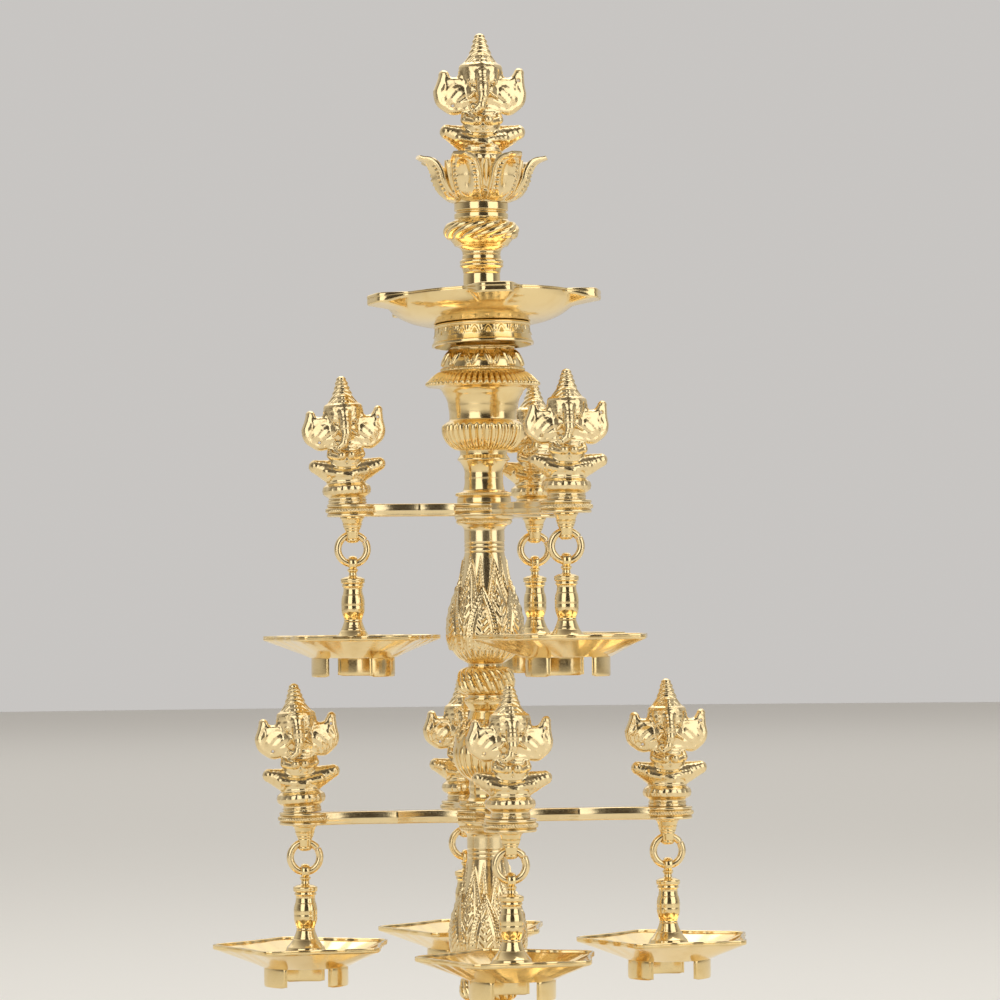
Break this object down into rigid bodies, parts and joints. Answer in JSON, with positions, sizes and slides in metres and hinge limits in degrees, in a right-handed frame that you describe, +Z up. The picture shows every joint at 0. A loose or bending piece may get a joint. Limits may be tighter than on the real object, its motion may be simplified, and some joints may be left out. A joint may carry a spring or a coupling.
{
  "type": "standing oil lamp",
  "caption": "Tall brass standing oil lamp with a pointed top dish, bracket tiers carrying seated figures, and small oil lamps hung on rings.",
  "frame": {"origin": "centre of the base's underside, on the column's axis", "axes": "+Z up the column, -Y towards the front that the figures face, +X to the right seen from the front"},
  "size_m": [0.3004, 0.2998, 0.6107],
  "materials": {
    "polished_brass": "turned and highly polished, pale gold with deep amber in the recesses",
    "cast_brass": "sand cast detail, buffed on the high spots and slightly rough in the recesses",
    "wire_brass": "drawn wire with a soft polish"
  },
  "bodies": {
    "column": {"base": "polished_brass", "dish_skirt": "polished_brass", "finial_stem": "polished_brass", "lotus": "cast_brass", "lower_back_figure": "cast_brass", "lower_back_lug": "polished_brass", "lower_baluster": "polished_brass", "lower_bracket": "cast_brass", "lower_front_figure": "cast_brass", "lower_front_lug": "polished_brass", "lower_knob": "polished_brass", "lower_left_figure": "cast_brass", "lower_left_lug": "polished_brass", "lower_right_figure": "cast_brass", "lower_right_lug": "polished_brass", "top_dish": "polished_brass", "top_figure": "cast_brass", "upper_back_figure": "cast_brass", "upper_back_lug": "polished_brass", "upper_baluster": "polished_brass", "upper_bracket": "cast_brass", "upper_front_figure": "cast_brass", "upper_front_lug": "polished_brass", "upper_knob": "polished_brass", "upper_left_figure": "cast_brass", "upper_left_lug": "polished_brass", "urn": "polished_brass", "vase": "polished_brass"},
    "upper_left_ring": {"upper_left_ring": "wire_brass"},
    "upper_left_lamp": {"upper_left_lamp_stem": "polished_brass", "upper_left_lamp_pan": "polished_brass"},
    "upper_front_ring": {"upper_front_ring": "wire_brass"},
    "upper_front_lamp": {"upper_front_lamp_stem": "polished_brass", "upper_front_lamp_pan": "polished_brass"},
    "upper_back_ring": {"upper_back_ring": "wire_brass"},
    "upper_back_lamp": {"upper_back_lamp_stem": "polished_brass", "upper_back_lamp_pan": "polished_brass"},
    "lower_right_ring": {"lower_right_ring": "wire_brass"},
    "lower_right_lamp": {"lower_right_lamp_stem": "polished_brass", "lower_right_lamp_pan": "polished_brass"},
    "lower_back_ring": {"lower_back_ring": "wire_brass"},
    "lower_back_lamp": {"lower_back_lamp_stem": "polished_brass", "lower_back_lamp_pan": "polished_brass"},
    "lower_left_ring": {"lower_left_ring": "wire_brass"},
    "lower_left_lamp": {"lower_left_lamp_stem": "polished_brass", "lower_left_lamp_pan": "polished_brass"},
    "lower_front_ring": {"lower_front_ring": "wire_brass"},
    "lower_front_lamp": {"lower_front_lamp_stem": "polished_brass", "lower_front_lamp_pan": "polished_brass"}
  },
  "joints": [
    {"name": "upper_left_ring_swing", "type": "hinge", "parent": "column", "child": "upper_left_ring", "pos_m": [-0.0733, 0, 0.3328], "axis": [-1, 0, 0], "range_deg": [-35, 35]},
    {"name": "upper_left_lamp_swing", "type": "hinge", "parent": "upper_left_ring", "child": "upper_left_lamp", "pos_m": [-0.0733, 0, 0.3247], "axis": [0, 1, 0], "range_deg": [-4, 35]},
    {"name": "upper_front_ring_swing", "type": "hinge", "parent": "column", "child": "upper_front_ring", "pos_m": [0.03665, -0.06348, 0.3328], "axis": [-1, 0, 0], "range_deg": [-4, 35]},
    {"name": "upper_front_lamp_swing", "type": "hinge", "parent": "upper_front_ring", "child": "upper_front_lamp", "pos_m": [0.03665, -0.06348, 0.3247], "axis": [0, -1, 0], "range_deg": [-4, 35]},
    {"name": "upper_back_ring_swing", "type": "hinge", "parent": "column", "child": "upper_back_ring", "pos_m": [0.03665, 0.06348, 0.3328], "axis": [1, 0, 0], "range_deg": [-4, 35]},
    {"name": "upper_back_lamp_swing", "type": "hinge", "parent": "upper_back_ring", "child": "upper_back_lamp", "pos_m": [0.03665, 0.06348, 0.3247], "axis": [0, -1, 0], "range_deg": [-4, 35]},
    {"name": "lower_right_ring_swing", "type": "hinge", "parent": "column", "child": "lower_right_ring", "pos_m": [0.101, 0, 0.1638], "axis": [1, 0, 0], "range_deg": [-35, 35]},
    {"name": "lower_right_lamp_swing", "type": "hinge", "parent": "lower_right_ring", "child": "lower_right_lamp", "pos_m": [0.101, 0, 0.1557], "axis": [0, -1, 0], "range_deg": [-15, 35]},
    {"name": "lower_back_ring_swing", "type": "hinge", "parent": "column", "child": "lower_back_ring", "pos_m": [0, 0.101, 0.1638], "axis": [1, 0, 0], "range_deg": [-15, 35]},
    {"name": "lower_back_lamp_swing", "type": "hinge", "parent": "lower_back_ring", "child": "lower_back_lamp", "pos_m": [0, 0.101, 0.1557], "axis": [0, 1, 0], "range_deg": [-35, 35]},
    {"name": "lower_left_ring_swing", "type": "hinge", "parent": "column", "child": "lower_left_ring", "pos_m": [-0.101, 0, 0.1638], "axis": [-1, 0, 0], "range_deg": [-35, 35]},
    {"name": "lower_left_lamp_swing", "type": "hinge", "parent": "lower_left_ring", "child": "lower_left_lamp", "pos_m": [-0.101, 0, 0.1557], "axis": [0, 1, 0], "range_deg": [-15, 35]},
    {"name": "lower_front_ring_swing", "type": "hinge", "parent": "column", "child": "lower_front_ring", "pos_m": [0, -0.101, 0.1638], "axis": [-1, 0, 0], "range_deg": [-15, 35]},
    {"name": "lower_front_lamp_swing", "type": "hinge", "parent": "lower_front_ring", "child": "lower_front_lamp", "pos_m": [0, -0.101, 0.1557], "axis": [0, -1, 0], "range_deg": [-35, 35]}
  ]
}
